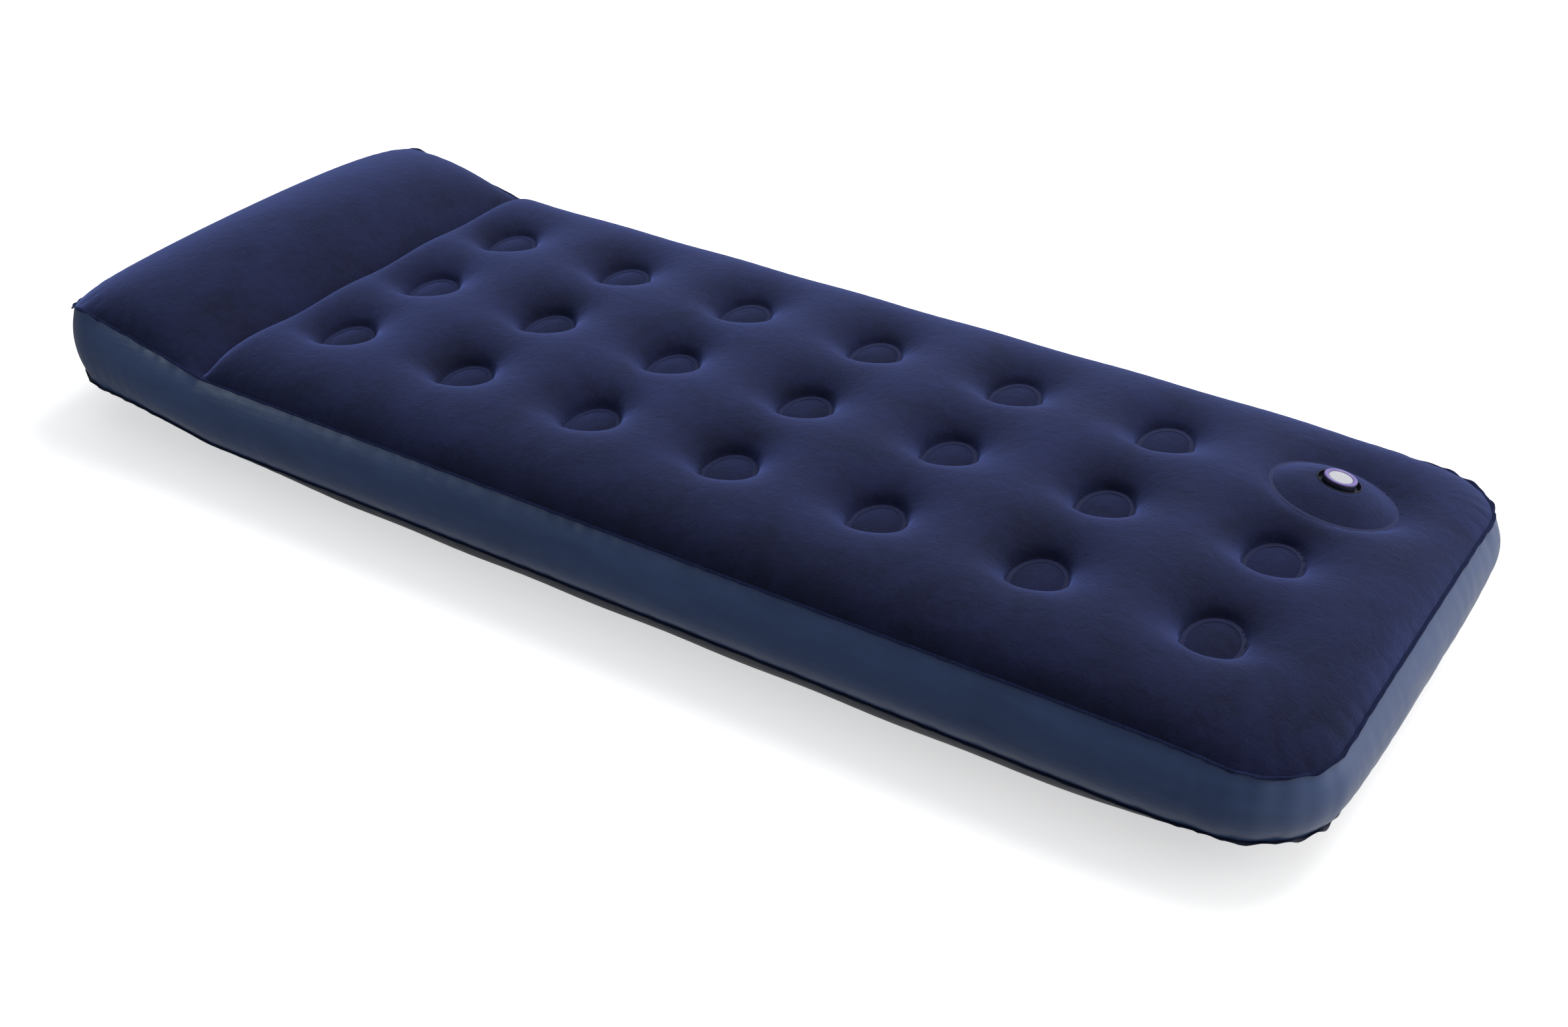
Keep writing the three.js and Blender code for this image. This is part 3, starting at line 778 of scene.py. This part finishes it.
# ---- Side band and seams -------------------------------------------------------------------------
def side_band():
    """Two seam lines joined by an arc that bulges outwards, gathered under the upper seam and buckled
    at the corners."""
    s = np.linspace(0, ROUND, 1200, endpoint=False)[None, :]
    t = (0.5 - 0.5 * np.cos(np.linspace(0, np.pi, 29)))[:, None]
    low_x, low_y, low_z = seam(s, 0)
    high_x, high_y, high_z = seam(s, 1)
    _, _, out_x, out_y = outline(s)
    tall = high_z - low_z
    slack = np.where(high_x < 0, 0.55, 0.3) * cornering(s)
    bulge = BAND_BULGE * (1 - slack) * (1 - (2 * t - 1) ** 2) * (1 + 0.02 * gathers(s, 21, 0.4))
    from_top, from_foot = (1 - t) * tall, t * tall
    near_top = (from_top / 0.007) * np.exp(1 - from_top / 0.007)
    near_foot = (from_foot / 0.009) * np.exp(1 - from_foot / 0.009)
    top_folds = gather_size(s, 0.0004, 0.0006) * gathers(s, 131, 2.7) * near_top
    foot_folds = gather_size(s, 0.0003, 0.0011) * gathers(s, 117, 5.1) * near_foot
    buckle = 0.0003 * cornering(s) * gathers(s, 62, 3.3) * np.sin(np.pi * t)
    out = bulge + top_folds + foot_folds + buckle
    x = low_x + (high_x - low_x) * t + out * out_x
    y = low_y + (high_y - low_y) * t + out * out_y
    z = low_z + tall * t
    points = np.stack([x, y + MID_Y, z], -1).reshape(-1, 3)
    faces = grid_faces(*x.shape, close_columns=True)
    from_valve = np.hypot(points[:, 0] - VALVE.x, points[:, 2] - VALVE.z)
    open_hole = (from_valve < VALVE_HOLE) & (points[:, 1] > MID_Y)
    faces = faces[~open_hole[faces].any(1)]
    piece = put_mesh("side_band", points, faces, "band_vinyl", "bed")
    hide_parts("side_band")


def seam_flange(name, level, slot, finish=None):
    """The welded edge that stands out of a seam: a thin closed strip whose free edge waves up and down."""
    s = np.linspace(0, ROUND, 1400, endpoint=False)[None, :]
    x, y, z = seam(s, level)
    _, _, out_x, out_y = outline(s)
    wave = gathers(s, 96, 6.0 + level) + 0.6 * gathers(s, 171, 1.7)
    reach = 0.0042 + gather_size(s, 0.0003, 0.0011) * gathers(s, 70, 0.9 + level)
    droop = gather_size(s, 0.0004, 0.0030) * wave
    half = np.array([[-0.35, -0.5], [0.3, -0.5], [0.75, -0.45], [1, -0.2]])
    section = np.concatenate([half, half[::-1] * (1, -1)])
    out = reach * section[:, :1]
    up = 0.0011 * section[:, 1:] + droop * np.clip(section[:, :1], 0, 1) ** 1.5
    points = np.stack([x + out * out_x, y + out * out_y + MID_Y, z + up], -1)
    faces = grid_faces(len(section), s.size, close_rows=True, close_columns=True)
    piece = put_mesh(name, points.reshape(-1, 3), faces, slot, "bed", finish=finish)
    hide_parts(name)


def crease_weld():
    """The weld line between pillow and bed: a flat strip, rounded over, lying in the valley."""
    y = np.linspace(-HALF_Y + 0.004, HALF_Y - 0.004, 161)
    z = sample(TOP, np.full_like(y, CREASE_X), y) + 0.0003 * gathers(y + HALF_Y, 170, 0.5)
    half = np.array([[3.2, -0.6], [3.0, 0.4], [1.6, 1.0]]) / 1000
    section = np.concatenate([half[:1] * (-1, 1), half, [[0, 0.00115]], half[:0:-1] * (-1, 1)])
    x = CREASE_X + np.broadcast_to(section[:, :1], (len(section), y.size))
    points = np.stack([x, np.broadcast_to(y + MID_Y, x.shape), z + section[:, 1:]], -1)
    faces = grid_faces(len(section), y.size, close_rows=True)[:, ::-1]
    points = points.reshape(-1, 3)
    piece = put_mesh("crease_weld", points, faces, "flocked_sheet", "bed", finish="pressed_flock")
    shape = bmesh.new()
    shape.from_mesh(piece.data)
    bmesh.ops.holes_fill(shape, edges=shape.edges)
    bmesh.ops.recalc_face_normals(shape, faces=shape.faces)
    shape.to_mesh(piece.data)
    shape.free()
    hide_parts("crease_weld")


# ---- Coils ---------------------------------------------------------------------------------------
def coil(name, cx, cy):
    """An upright tube: an oval section that narrows a little at mid-height, its top edge on the tilted
    dimple."""
    around, levels = 40, 9
    angle = np.linspace(0, 2 * np.pi, around, endpoint=False)[None, :]
    climb = np.linspace(0, 1, levels)[:, None]
    up = np.concatenate([climb, climb[::-1]])
    wall = np.repeat([[0.97], [0.93]], levels, 0)
    waist = 1 - 0.08 * np.sin(np.pi * up)
    x = cx + RING_X * wall * waist * np.cos(angle)
    y = cy + RING_Y * wall * waist * np.sin(angle)
    foot = DIMPLE_FEET_Z + COIL_CLEAR
    top = dimple_plane(y, cy) - COIL_CLEAR
    z = foot + (top - foot) * up
    points = np.stack([x, y + MID_Y, z], -1).reshape(-1, 3)
    faces = grid_faces(2 * levels, around, close_rows=True, close_columns=True)
    piece = put_mesh(name, points, faces, "inner_vinyl", "bed")
    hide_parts(name)


def coil_ring(name, cx, cy):
    """The weld mark on the sheet over a coil: a low closed band with a groove along it, following the
    oval ring."""
    around = 72
    angle = np.linspace(0, 2 * np.pi, around, endpoint=False)[None, :]
    half = np.array([[2.9, -0.5], [2.8, 0.3], [2.2, 0.75], [1.2, 0.4]]) / 1000
    section = np.concatenate([half[:1] * (-1, 1), half, half[:0:-1] * (-1, 1)])
    out, up = section[:, :1], section[:, 1:]
    x = cx + (RING_X + out) * np.cos(angle)
    y = cy + (RING_Y + out) * np.sin(angle)
    z = dimple_plane(y, cy) + up
    points = np.stack([x, y + MID_Y, z], -1).reshape(-1, 3)
    faces = grid_faces(len(section), around, close_rows=True, close_columns=True)
    put_mesh(name, points, faces, "flocked_sheet", "bed", finish="pressed_flock")


# ---- Foot pump -----------------------------------------------------------------------------------
def pump_piece(name, profile, slot, body, **settings):
    return turned_piece(name, profile, slot, body, PUMP, PUMP_AXIS, **settings)


def foot_pump():
    """The pump's turned pieces, about its tilted axis with height 0 at the weld ring."""
    rim, eye, crest = 72.6, 26.4, PUMP_CREST * 1000
    radius = np.linspace(rim, eye, 40)
    share = (rim - radius) / (rim - eye)
    rise = 1.2 + (crest - 1.2) * (0.72 * np.sin(share * np.pi / 2) + 0.28 * share)
    rise = rise + 0.25 * np.sin(share * 5 * np.pi) * np.exp(-((share - 0.93) / 0.09) ** 2)
    outer = np.stack([radius, rise], -1)
    inner = np.stack([radius, rise - 1.0], -1)[::-1]
    dome = pump_piece("pump_dome", [*outer, *inner], "flocked_sheet", None, sharp=60)
    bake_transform(dome)
    ring = [(71.8, -0.6), (77.6, -0.6), (77.4, 0.4), (76.6, 0.8)]
    ring += [(75.4, 0.5), (74.4, 0.6), (73.4, 1.2), (71.8, 0.9)]
    pump_piece("pump_weld_ring", ring, "flocked_sheet", "bed", sharp=50, finish="pressed_flock")
    foam = [(31, -95), (62, -95), (62, -0.5), (56, 2), (48, 5), (40, 7), (31, 7.8)]
    packing = pump_piece("pump_foam", rounded(foam, 3), "pump_foam", "bed", around=64)
    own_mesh(packing)
    top = crest + 0.5
    collar = [(20.4, top - 11.5), (30, top - 11.5), (30, top - 2.2), (26.2, top - 1.9)]
    collar += [(26.2, top + 0.5), (25.5, top + 0.5), (25.5, top - 7.5), (20.4, top - 7.5)]
    pump_piece("intake_collar", rounded(collar, 0.5), "navy_plastic", "pump_press")
    lid = crest + 7
    plug = [(0, lid - 22), (16, lid - 22), (19.4, lid - 19), (19.7, lid - 2.2), (0, lid - 2.2)]
    pump_piece("intake_plug", rounded(plug, 1.0), "navy_plastic", "pump_plug")
    rim_ring = [(14.5, lid - 2.1), (19.8, lid - 2.1), (19.6, lid - 0.6)]
    rim_ring += [(18.2, lid + 0.2), (16.4, lid + 0.2), (14.5, lid - 0.8)]
    pump_piece("plug_rim_ring", rounded(rim_ring, 0.8), "lilac_plastic", "pump_plug")
    disc = [(0, lid - 2.1), (14.2, lid - 2.1), (14.2, lid - 1.1)]
    disc += [(13, lid - 0.7), (6, lid - 0.45), (0, lid - 0.4)]
    pump_piece("plug_centre_disc", rounded(disc, 0.5), "pale_grey_plastic", "pump_plug")


# ---- Screw valve ---------------------------------------------------------------------------------
def valve_piece(name, profile, slot, body, **settings):
    return turned_piece(name, profile, slot, body, VALVE, Vector((0, 1, 0)), **settings)


def screw_valve():
    """The valve on the far side of the band, about its own axis with height 0 on the band."""
    flange = [(13.5, -22), (16, -22), (16, 0.1), (27, -1.2), (27, 0.6)]
    flange += [(25.5, 2.0), (18, 2.4), (16.5, 3.2), (16.5, 6), (13.5, 6)]
    valve_piece("valve_flange", rounded(flange, 0.5), "navy_plastic", "bed")
    gasket = [(13.5, 6.2), (16.6, 6.2), (16.9, 6.85), (16.6, 7.5), (13.5, 7.5)]
    valve_piece("valve_gasket", rounded(gasket, 0.3), "black_rubber", "valve_seal")
    body = [(8, -15), (12.6, -15)]
    for crest in (-11, -7, -3):
        body += [(12.6, crest - 1), (13.1, crest), (12.6, crest + 1)]
    body += [(12.6, 7.8), (19, 7.8), (19.4, 9.5), (19.4, 13.5), (18.6, 15), (8, 15)]
    ribbed = {"around": 216, "ribs": 24, "rib_depth": 0.0008}
    valve_piece("valve_screw_body", rounded(body, 0.4), "navy_plastic", "valve_screw", **ribbed)
    cap = [(0, 12), (6.4, 12), (7.4, 15.2), (12, 15.2), (12, 17.2)]
    cap += [(11, 18.1), (8.6, 18.2), (7.8, 17.5), (0, 17.5)]
    valve_piece("valve_cap", rounded(cap, 0.4), "navy_plastic", "valve_lid")
    lid_strap()


def lid_strap():
    """The cap's strap to its hinge: a flat outline with one round end, given a thickness."""
    angle = np.linspace(-np.pi / 2, np.pi / 2, 13)
    end_x, end_z = 0.0160 + 0.0028 * np.cos(angle), 0.0028 * np.sin(angle)
    x = np.concatenate([[0.0110], end_x, [0.0110]])
    z = np.concatenate([[-0.0028], end_z, [0.0028]])
    shape = bmesh.new()
    rings = []
    for level in (0.0153, 0.0169):
        corners = [(VALVE.x + a, VALVE.y + level, VALVE.z + c) for a, c in zip(x, z)]
        rings.append([shape.verts.new(corner) for corner in corners])
    count = len(x)
    for k in range(count):
        n = (k + 1) % count
        shape.faces.new((rings[0][k], rings[0][n], rings[1][n], rings[1][k]))
    shape.faces.new(rings[0])
    shape.faces.new(rings[1])
    bmesh.ops.recalc_face_normals(shape, faces=shape.faces)
    mesh = bpy.data.meshes.new("valve_lid_strap")
    shape.to_mesh(mesh)
    shape.free()
    mesh.materials.append(FINISHES["navy_plastic"])
    strap = bpy.data.objects.new("valve_lid_strap", mesh)
    bpy.context.scene.collection.objects.link(strap)
    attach(strap, "valve_lid")


# ---- Assembly ------------------------------------------------------------------------------------
main_sheet()
pillow_sheet()
under_sheet()
side_band()
seam_flange("upper_seam_flange", 1, "flocked_sheet", finish="seam_edge")
seam_flange("lower_seam_flange", 0, "underside_vinyl")
crease_weld()
for name, (cx, cy) in zip(COIL_NAMES, COIL_PLACES):
    coil(name, cx, cy)
    coil_ring(name.replace("coil", "coil_ring"), cx, cy)
foot_pump()
screw_valve()

KEPT = {
    "pillow_baffle": "inner_vinyl",
    "pump_cup": "inner_vinyl",
    "outlet_seat": "navy_plastic",
    "outlet_flap": "black_rubber",
    "valve_check_flap": "inner_vinyl",
}
for node, finish in KEPT.items():
    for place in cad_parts[node].material_slots:
        place.material = FINISHES[finish]


# ---- Studio --------------------------------------------------------------------------------------
def studio_floor():
    """A wide pale floor, faintly mottled."""
    mesh = bpy.data.meshes.new("floor")
    mesh.from_pydata([(-30, -30, 0), (30, -30, 0), (30, 30, 0), (-30, 30, 0)], [], [(0, 1, 2, 3)])
    paper = Finish("pale_floor", Specular_IOR_Level=0.1)
    paper.link(paper.mix(paper.noise(3, detail=2), (0.93, 0.93, 0.93), (0.95, 0.95, 0.95)), "Base Color")
    paper.shader.inputs["Roughness"].default_value = 0.9
    mesh.materials.append(paper.material)
    paper.shader.inputs["Emission Color"].default_value = (1, 1, 1, 1)
    paper.shader.inputs["Emission Strength"].default_value = 0.55
    floor = bpy.data.objects.new("floor", mesh)
    floor.visible_glossy = False
    floor.visible_diffuse = False
    bpy.context.scene.collection.objects.link(floor)


def soft_light(name, place, target, size, power, colour=(1, 1, 1)):
    light = bpy.data.lights.new(name, "AREA")
    light.shape = "RECTANGLE"
    light.size, light.size_y = size
    light.energy = power
    light.color = colour
    lamp = bpy.data.objects.new(name, light)
    aim = Vector(place) - Vector(target)
    lamp.matrix_world = Matrix.Translation(place) @ aim.to_track_quat("Z", "Y").to_matrix().to_4x4()
    bpy.context.scene.collection.objects.link(lamp)


def light_studio():
    """A pale world, brighter beyond the far foot corner, and three soft lamps."""
    world = bpy.data.worlds.new("studio")
    world.use_nodes = True
    nodes, links = world.node_tree.nodes, world.node_tree.links
    sky = nodes["Background"]
    sky.inputs["Color"].default_value = (1, 1, 1, 1)
    towards = nodes.new("ShaderNodeVectorMath")
    towards.operation = "DOT_PRODUCT"
    towards.inputs[1].default_value = (0.70, 0.71, 0.05)
    glow = nodes.new("ShaderNodeMapRange")
    glow.inputs["From Min"].default_value = -0.6
    glow.inputs["To Min"].default_value = 0.16
    glow.inputs["To Max"].default_value = 0.95
    links.new(nodes.new("ShaderNodeTexCoord").outputs["Generated"], towards.inputs[0])
    links.new(towards.outputs["Value"], glow.inputs["Value"])
    links.new(glow.outputs[0], sky.inputs["Strength"])
    bpy.context.scene.world = world
    soft_light("overhead", (0.5, 1.5, 2.9), (0, 0, 0), (3.0, 1.8), 80)
    soft_light("pump_end_side", (3.4, 1.2, 0.9), (0.9, 0, 0.1), (1.4, 2.4), 17)
    soft_light("head_end_front", (-2.7, -2.2, 1.4), (-0.5, -0.3, 0.1), (1.0, 0.5), 9, (0.72, 0.86, 1))
    bpy.context.scene.view_settings.view_transform = "Standard"


studio_floor()
light_studio()
